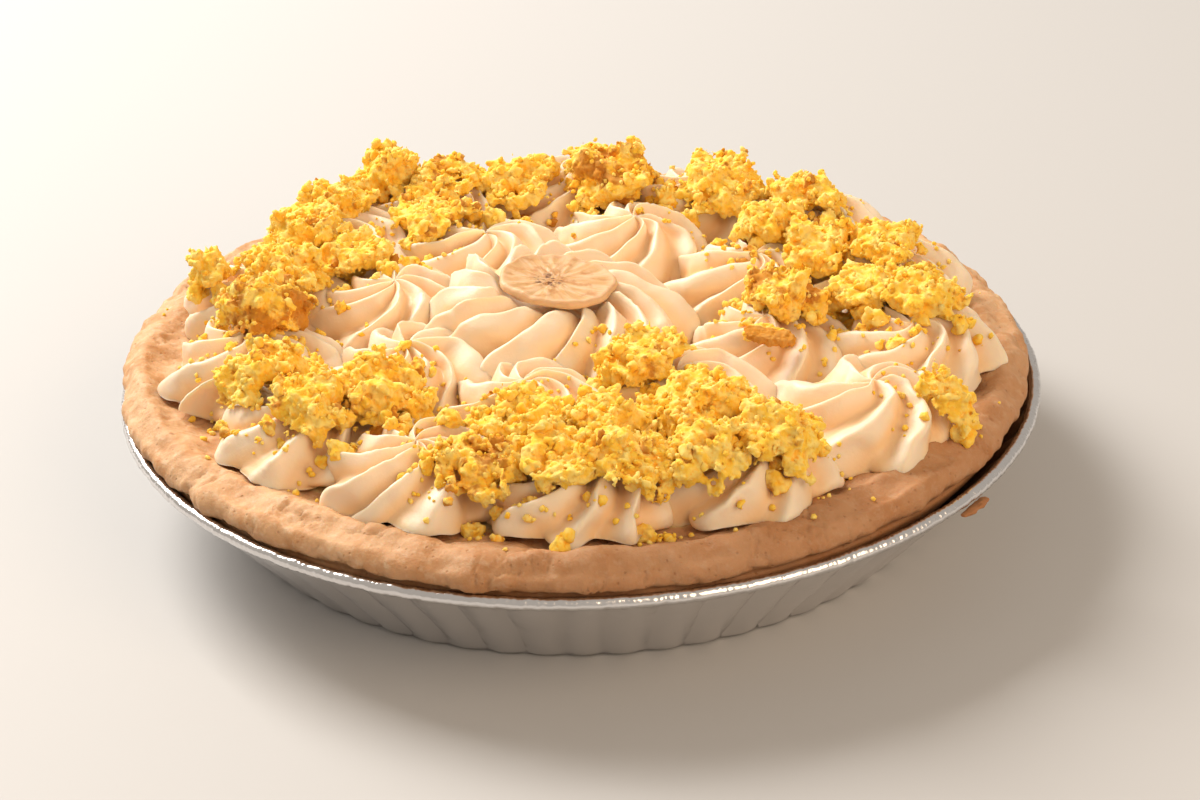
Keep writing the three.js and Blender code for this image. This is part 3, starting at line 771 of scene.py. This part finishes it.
SLICE_PLACE = Vector((-5.5 * MM, -2.4 * MM, 57.3 * MM))
SLICE_RADIUS = 15.4 * MM
SLICE_THICKNESS = 2.4 * MM
SLICE_TILT = math.radians(6)
SLICE_STEPS = 180
SLICE_ROWS = 40
SLICE_WRINKLE = 0.42 * MM
SLICE_RAYS = 5                # how closely the wrinkles stand side by side, and the broad folds
SLICE_FOLDS = 2
# The waves of the outline: how deep, how many and where they start.
SLICE_WAVES = ((0.35 * MM, 4, 0.3), (0.25 * MM, 9, 1))
SEEDS_PLACE = Vector((-2.2 * MM, -1.2 * MM, 0))     # from the slice's middle
SEEDS_REACH = 5.2 * MM
# The slice cut through from its middle underneath, round the rim and over the lip to the middle on
# top: share of the radius and of the thickness.
SLICE_SECTION = (
    (0.3, 0.03), (0.7, 0.0), (0.93, 0.04), (0.985, 0.22), (1.0, 0.5), (0.99, 0.82), (0.965, 1.0),
    (0.93, 1.04), (0.88, 0.95), (0.8, 0.87), (0.6, 0.83), (0.3, 0.8), (0.04, 0.78),
)

SLICE_TAN = (0.62, 0.35, 0.14, 1)
SLICE_LIGHT = (0.72, 0.47, 0.26, 1)
SLICE_DARK = (0.50, 0.21, 0.06, 1)
SLICE_SEED = (0.13, 0.05, 0.02, 1)


def slice_row(share):
    """The section at a share of the way along it."""
    at = share * (len(SLICE_SECTION) - 1)
    row = min(int(at), len(SLICE_SECTION) - 2)
    (r0, z0), (r1, z1) = SLICE_SECTION[row:row + 2]
    return r0 + (r1 - r0) * (at - row), z0 + (z1 - z0) * (at - row)


def slice_ring(share):
    """One ring of points, with the waves of the outline and the wrinkles of the dried flesh."""
    out, up = slice_row(share)
    ring = []
    for step in range(SLICE_STEPS):
        turn = step * 2 * math.pi / SLICE_STEPS
        x = math.cos(turn)
        y = math.sin(turn)
        wave = sum(depth * math.sin(count * turn + start) for depth, count, start in SLICE_WAVES)
        radius = SLICE_RADIUS * out + wave * out ** 2
        streak = noise.noise(Vector((x * SLICE_RAYS, y * SLICE_RAYS, out * 1.5)))
        fold = noise.noise(Vector((x * SLICE_FOLDS * out, y * SLICE_FOLDS * out, 7)))
        wrinkle = SLICE_WRINKLE * up * (streak * min(1, out * 3) + 1.2 * fold)
        ring.append((radius * x, radius * y, SLICE_THICKNESS * up + wrinkle))
    return ring


slice_rings = [slice_ring(row / SLICE_ROWS) for row in range(SLICE_ROWS + 1)]
slice_top = (0, 0, SLICE_THICKNESS * SLICE_SECTION[-1][1])
slice_mesh = turned_mesh("dried_banana_slice", [(0, 0, 0.1 * MM), *slice_rings, slice_top])
slice_mesh.transform(Matrix.Translation(SLICE_PLACE) @ Matrix.Rotation(SLICE_TILT, 4, "Y"))

dried, tree, surface, place = new_material("dried banana", {
    "Roughness": 0.5, "Subsurface Weight": 0.35,
    "Subsurface Radius": (1.0, 0.5, 0.2), "Subsurface Scale": 1.8 * MM,
})
on_slice = vector_of("SUBTRACT", place, tuple(SLICE_PLACE))
from_seeds = vector_of("SUBTRACT", on_slice, tuple(SEEDS_PLACE))
streaks = cloud(vector_of("NORMALIZE", from_seeds), scale=7.0, detail=4.0)
mottle = cloud(place, scale=330.0, detail=4.0)
flecks = cloud(vector_of("MULTIPLY", from_seeds, (1.0, 1.7, 1.0)), scale=620.0, detail=2.0)
near_seeds = ramp(from_axis(from_seeds), SEEDS_REACH, SEEDS_REACH * 0.5)
colour = stained_or_shaded(
    SLICE_TAN,
    (ramp(streaks, 0.4, 0.62), 1.0, SLICE_LIGHT),
    (ramp(mottle, 0.5, 0.68), 0.7, SLICE_DARK),
    (ramp(from_axis(on_slice), 12.5 * MM, 15 * MM), 0.8, SLICE_LIGHT),
    (times(ramp(flecks, 0.50, 0.58), near_seeds), 0.9, SLICE_SEED),
)
tree.links.new(colour, surface.inputs["Base Color"])
relief(surface, calculate("MULTIPLY_ADD", streaks, 1.5, mottle), strength=0.4, depth=0.4 * MM)
slice_mesh.materials.append(dried)

banana_slice = new_object("dried_banana_slice", slice_mesh)
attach(banana_slice, "root")
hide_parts("banana_chip")


# ---- Crumbled cake ----
# Yellow sponge cake rubbed between the fingers over the cream: clumps of a centimetre or two that
# hold together, and what fell from them, down to crumbs as fine as sand. It is bright yellow
# inside, and browned where the crumb comes from the top of the cake.

# Pale and gold serve as random tones, and also as painted light: pale as a highlight on raised sponge,
# gold as shade in its hollows.
CAKE_YELLOW = (0.98, 0.61, 0.07, 1)
CAKE_PALE_AND_HIGHLIGHT = (0.98, 0.73, 0.21, 1)
CAKE_GOLD_AND_SHADE = (1.0, 0.46, 0.02, 1)
CAKE_BROWN = (0.50, 0.16, 0.015, 1)
LUMP = 6.2 * MM               # size of the largest lumps in a clump
LUMP_DEPTH = 3.2 * MM         # how far they stand out of it and sink into it
FUZZ = 0.9 * MM               # size of the grain on them
FUZZ_DEPTH = 0.2 * MM
VOXEL = 0.5 * MM
CLUMP_SUNK = 1.2 * MM         # how far a clump has pressed into the cream
# How much of the cake's browned top is in some of the clumps.
BROWNED = {
    "cake_clump_20": 1.0, "cake_clump_06": 0.6, "cake_clump_25": 0.5, "cake_clump_14": 0.4,
    "cake_clump_03": 0.4,
}

cake, tree, surface, place = new_material("sponge cake", {
    "Roughness": 0.85, "Specular IOR Level": 0.2, "Subsurface Weight": 0.4,
    "Subsurface Radius": (1.0, 1.0, 0.7), "Subsurface Scale": 0.6 * MM,
})
browned = add(tree, "ShaderNodeAttribute", attribute_name="browned").outputs["Fac"]
raised = add(tree, "ShaderNodeAttribute", attribute_name="raised").outputs["Fac"]
grain = add(tree, "ShaderNodeGroup", {"Grain size": 0.5 * MM}, node_tree=baked_grain).outputs
mottle = cloud(place, scale=330.0, detail=3.0)
broad = cloud(place, scale=120.0, detail=2.0)
toasted = cloud(place, scale=95.0, detail=4.0, Roughness=0.65)
toasted = calculate("MULTIPLY_ADD", browned, 0.2, toasted)
colour = stained_or_shaded(
    CAKE_YELLOW,
    (ramp(mottle, 0.4, 0.65), 1.0, CAKE_PALE_AND_HIGHLIGHT),
    # Painted highlight on the raised sponge and painted shade down in its hollows.
    (ramp(raised, 0.2, 1.0), 1.0, CAKE_PALE_AND_HIGHLIGHT),
    (ramp(raised, 0.0, -1.0), 0.8, CAKE_GOLD_AND_SHADE),
    (ramp(broad, 0.5, 0.75), 0.5, CAKE_GOLD_AND_SHADE),
    (ramp(toasted, 0.61, 0.70), 0.8, CAKE_BROWN),
)
tree.links.new(colour, surface.inputs["Base Color"])
height = calculate("MULTIPLY_ADD", grain["Pits"], -0.5, grain["Grain"])
relief(surface, height, strength=0.6, depth=0.4 * MM)

CRUMBLING = ("Lump", "Lump depth", "Voxel", "Browned", "Seed")


def crumbling_tree():
    """Turns a solid into torn sponge: one porous skin, with lumps, hollows and grain of every size."""
    tree, sizes, place = modifier_tree("crumbling", CRUMBLING)
    body = sizes["Geometry"]

    # How far a place is outside the solid, or inside it as a negative number.
    near = feed("GeometryNodeProximity", {0: body}, target_element="FACES")
    surfaces = {"Mesh": body, "Value": add(tree, "GeometryNodeInputNormal").outputs[0]}
    facing = feed("GeometryNodeSampleNearestSurface", surfaces, data_type="FLOAT_VECTOR")["Value"]
    away = vector_of("SUBTRACT", place, near["Position"])
    side = calculate("SIGN", vector_of("DOT_PRODUCT", away, facing, result="Value"))
    outside = times(near["Distance"], side)

    # The cake is dense where the torn skin lies further out than the place.
    scale = calculate("DIVIDE", 1.0, sizes["Lump"])
    torn = cloud(place, scale, detail=4.0, W=sizes["Seed"], Roughness=0.64)
    torn = times(calculate("MULTIPLY_ADD", torn, 5.0, -2.6), sizes["Lump depth"])
    depth = calculate("DIVIDE", calculate("SUBTRACT", torn, outside), sizes["Voxel"])
    density = feed("ShaderNodeClamp", {"Value": calculate("MULTIPLY_ADD", depth, 0.2, 0.5)})[0]
    box = feed("GeometryNodeBoundBox", {0: body})
    margin = times(sizes["Lump depth"], 2.0)
    low = vector_of("SUBTRACT", box["Min"], margin)
    high = vector_of("ADD", box["Max"], margin)
    voxels = vector_of("DIVIDE", vector_of("SUBTRACT", high, low), sizes["Voxel"])
    counts = feed("ShaderNodeSeparateXYZ", {0: voxels})
    sponge = feed("GeometryNodeVolumeCube", {
        "Density": density, "Min": low, "Max": high,
        "Resolution X": counts["X"], "Resolution Y": counts["Y"], "Resolution Z": counts["Z"],
    })[0]
    walls = {"Volume": sponge, "Threshold": 0.5}
    skin = feed("GeometryNodeVolumeToMesh", walls, resolution_mode="GRID")[0]

    fuzz = unevenness(place, FUZZ, 1.0)
    # How far out each point lies, kept as "raised" for the material's painted highlight and shade.
    height = calculate("MULTIPLY_ADD", calculate("DIVIDE", outside, sizes["Lump depth"]), 0.8, fuzz)
    skin = keep(keep(skin, "raised", height), "browned", sizes["Browned"])
    close_tree(moved(skin, outwards(times(fuzz, FUZZ_DEPTH))), cake)
    return tree


def solid_copy(node, name, sunk):
    """A welded copy of a solid's mesh as a new object, a little lower."""
    mesh = solids[node].data.copy()
    shape = bmesh.new()
    shape.from_mesh(mesh)
    bmesh.ops.remove_doubles(shape, verts=shape.verts, dist=0.01 * MM)
    shape.to_mesh(mesh)
    shape.free()
    mesh.name = name
    mesh.transform(Matrix.Translation((0, 0, -sunk)))
    return new_object(name, mesh)


crumbling = crumbling_tree()
clump_nodes = sorted(name for name in solids if name.startswith("cake_clump_"))
clumps = []
for index, node in enumerate(clump_nodes):
    clump = solid_copy(node, node.replace("cake_clump", "crumbled_cake"), CLUMP_SUNK)
    apply_tree(clump, crumbling, {
        "Lump": LUMP, "Lump depth": LUMP_DEPTH, "Voxel": VOXEL, "Browned": BROWNED.get(node, 0.0),
        "Seed": float(index),
    })
    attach(clump, "root")
    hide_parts(node)
    clumps.append(clump)


# Nuggets, morsels and crumbs fall where the clumps broke: close round them, thinning out with
# distance. Each kind: how many to a square metre, how far from the clumps it spreads, its smallest
# and largest scale, what share of its radius it is lifted by, and its shapes' radius, voxel and count.
SPRINKLES = {
    "cake_nuggets": {"every": 10300.0, "spread": 7.5 * MM, "scale": (0.55, 1.2), "lift": 0.25,
                     "radius": 3.2 * MM, "voxel": 0.65 * MM, "shapes": 6},
    "cake_morsels": {"every": 30000.0, "spread": 9.5 * MM, "scale": (0.55, 1.25), "lift": 0.35,
                     "radius": 1.8 * MM, "voxel": 0.65 * MM, "shapes": 7},
    "cake_crumbs": {"every": 130000.0, "spread": 13 * MM, "scale": (0.5, 1.3), "lift": 0.3,
                    "radius": 0.8 * MM, "voxel": 0, "shapes": 7},
}
SPRINKLE_TOP = 80 * MM        # height and radius of the disc that they fall from
SPRINKLE_REACH = 116 * MM
SPRINKLE_TURN = 3.1
RIM_FROM = 103 * MM           # past this radius fewer stay on the rim, and past the next a small share
RIM_FULLY = 106 * MM
RIM_SHARE = 0.15
MORSEL_LUMP = 0.55            # how uneven a morsel is, and how flat
MORSEL_FLAT = 0.8

SPRINKLING = ("Every", "Spread", "Smallest", "Largest", "Lift")
SPRINKLED = {"Shapes": "Collection", "Under": "Collection", "Clumps": "Collection", "Seed": "Int"}


def held(collection):
    """All that a collection holds, as real mesh."""
    inside = feed("GeometryNodeCollectionInfo", {"Collection": collection})[0]
    return feed("GeometryNodeRealizeInstances", {0: inside})[0]


def sprinkling_tree():
    """Drops random shapes from a flat disc on whatever lies under it, more of them near the clumps."""
    tree, sizes, place = modifier_tree("sprinkling", SPRINKLING, SPRINKLED)
    flat = feed("GeometryNodeTransform", {
        "Geometry": held(sizes["Clumps"]), "Scale": (1.0, 1.0, 0.0),
        "Translation": (0.0, 0.0, SPRINKLE_TOP),
    })[0]
    near = feed("GeometryNodeProximity", {0: flat}, target_element="FACES")["Distance"]
    patchy = calculate("MULTIPLY_ADD", cloud(place, scale=95.0, detail=2.0), 2.2, -0.1)
    share = calculate("SUBTRACT", 1.0, calculate("DIVIDE", near, times(sizes["Spread"], patchy)))
    share = calculate("MAXIMUM", share, 0.0)
    on_rim = mapped(from_axis(place), RIM_FROM, RIM_FULLY, first=1.0, last=RIM_SHARE)
    dropped = feed("GeometryNodeDistributePointsOnFaces", {
        "Mesh": sizes["Geometry"], "Density": times(sizes["Every"], share, on_rim), "Seed": sizes["Seed"],
    }, distribute_method="RANDOM")[0]
    landing = feed("GeometryNodeRaycast", {
        "Target Geometry": held(sizes["Under"]), "Ray Direction": (0.0, 0.0, -1.0), "Ray Length": 1.0,
    })
    missed = calculate("SUBTRACT", 1.0, landing["Is Hit"])
    limits = {2: sizes["Smallest"], 3: sizes["Largest"], "Seed": sizes["Seed"]}
    size = feed("FunctionNodeRandomValue", limits, data_type="FLOAT")[1]
    lift = scaled(landing["Hit Normal"], times(size, sizes["Lift"]))
    resting = vector_of("ADD", landing["Hit Position"], lift)
    landed = feed("GeometryNodeSetPosition", {"Geometry": dropped, "Position": resting})[0]
    landed = {"Geometry": keep(landed, "size", size), "Selection": missed}
    landed = feed("GeometryNodeDeleteGeometry", landed, domain="POINT")[0]
    shapes = feed("GeometryNodeCollectionInfo", {
        "Collection": sizes["Shapes"], "Separate Children": True, "Reset Children": True,
    })[0]
    limits = {0: [-SPRINKLE_TURN] * 3, 1: [SPRINKLE_TURN] * 3, "Seed": sizes["Seed"]}
    turned = feed("FunctionNodeRandomValue", limits, data_type="FLOAT_VECTOR")[0]
    placed = feed("GeometryNodeInstanceOnPoints", {
        "Points": landed, "Instance": shapes, "Pick Instance": True, "Rotation": turned,
        "Scale": stored(tree, "size"),
    })[0]
    close_tree(placed, cake)
    return tree


def gathered(name, objects):
    """A collection that a tree can read, for as long as it is needed."""
    collection = bpy.data.collections.new(name)
    for item in objects:
        collection.objects.link(item)
    return collection


def morsel_shapes(name, radius, voxel, count):
    """Small torn pieces of the sponge, each different. Without a voxel size they stay plain lumps."""
    made = []
    for index in range(count):
        shape = bmesh.new()
        bmesh.ops.create_icosphere(shape, subdivisions=2 if voxel else 1, radius=radius)
        for vertex in shape.verts:
            lump = noise.noise(vertex.co / radius * 1.1 + Vector((index * 7.3, 0, 0)))
            vertex.co *= 1 + MORSEL_LUMP * lump
            vertex.co.z *= MORSEL_FLAT
        mesh = bpy.data.meshes.new(name)
        shape.to_mesh(mesh)
        shape.free()
        piece = new_object(f"{name}_{index}", mesh)
        if voxel:
            apply_tree(piece, crumbling, {
                "Lump": radius * 1.1, "Lump depth": radius * 0.5, "Voxel": voxel,
                "Browned": 0.8 * (index == 0), "Seed": 100.0 + index,
            })
        made.append(piece)
    return made


sprinkling = sprinkling_tree()
disc = bmesh.new()
disc_place = Matrix.Translation((0, 0, SPRINKLE_TOP))
bmesh.ops.create_circle(disc, cap_ends=True, segments=64, radius=SPRINKLE_REACH, matrix=disc_place)
bmesh.ops.poke(disc, faces=disc.faces)
bmesh.ops.subdivide_edges(disc, edges=disc.edges, cuts=24, use_grid_fill=True)
drop_mesh = bpy.data.meshes.new("sprinkled_from")
disc.to_mesh(drop_mesh)
disc.free()

under_crumbs = [crust, *rosettes]
clump_collection = gathered("clumps", clumps)
for seed, (kind, sprinkle) in enumerate(SPRINKLES.items()):
    shapes = morsel_shapes(kind, sprinkle["radius"], sprinkle["voxel"], sprinkle["shapes"])
    shape_collection = gathered("shapes", shapes)
    under_collection = gathered("under", under_crumbs)
    fallen = new_object(kind, drop_mesh.copy())
    apply_tree(fallen, sprinkling, {
        "Shapes": shape_collection, "Under": under_collection, "Clumps": clump_collection,
        "Every": sprinkle["every"], "Spread": sprinkle["spread"],
        "Smallest": sprinkle["scale"][0], "Largest": sprinkle["scale"][1],
        "Lift": sprinkle["radius"] * sprinkle["lift"], "Seed": seed,
    })
    for used in (shape_collection, under_collection):
        bpy.data.collections.remove(used)
    for shape in shapes:
        bpy.data.objects.remove(shape)
    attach(fallen, "root")
    under_crumbs += [fallen, *clumps] if kind == "cake_nuggets" else [fallen]
bpy.data.collections.remove(clump_collection)


# ---- Flake of the cake's top ----
# A flat scrap of the cake's browned top that landed face up on the right, with pale crumb still
# clinging to its far edge.

FLAKE_SUNK = 0.8 * MM
FLAKE_CRUMB = 2.5 * MM        # width of the pale crumb along its far edge
FLAKE_BROWNED = 1.6

flake = solid_copy("cake_flake", "browned_flake", FLAKE_SUNK)
apply_tree(flake, crumbling, {
    "Lump": 2.5 * MM, "Lump depth": 0.5 * MM, "Voxel": 0.3 * MM, "Browned": 0.0, "Seed": 71.0,
})
flake_points = np.empty(len(flake.data.vertices) * 3, np.float32)
flake.data.vertices.foreach_get("co", flake_points)
flake_back = flake_points[1::3]
flake_top = np.where(flake_back < flake_back.max() - FLAKE_CRUMB, FLAKE_BROWNED, 0.0)
flake.data.attributes["browned"].data.foreach_set("value", flake_top)
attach(flake, "root")
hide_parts("cake_flake")


# ---- Drip of pastry ----
# A drip of the case's own soft pastry, which ran over the edge in the oven and baked on under the
# pan's bead.

drip = solid_copy("pastry_drip", "baked_drip", 0)
drip_shape = bmesh.new()
drip_shape.from_mesh(drip.data)
bmesh.ops.subdivide_edges(drip_shape, edges=drip_shape.edges, cuts=3, smooth=1.0, use_grid_fill=True)
every_way = {"use_axis_x": True, "use_axis_y": True, "use_axis_z": True}
bmesh.ops.smooth_vert(drip_shape, verts=drip_shape.verts, factor=0.5, **every_way)
drip_shape.to_mesh(drip.data)
drip_shape.free()
store(drip.data, "shows", [1.0] * len(drip.data.vertices))
apply_tree(drip, baking, {
    "Lump": 3 * MM, "Lump depth": 0.35 * MM, "Blister": 1.2 * MM, "Blister depth": 0.18 * MM,
    "Crack": 3 * MM, "Crack depth": 0.2 * MM, "Seed": 9.0,
})
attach(drip, "root")
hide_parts("pastry_drip")
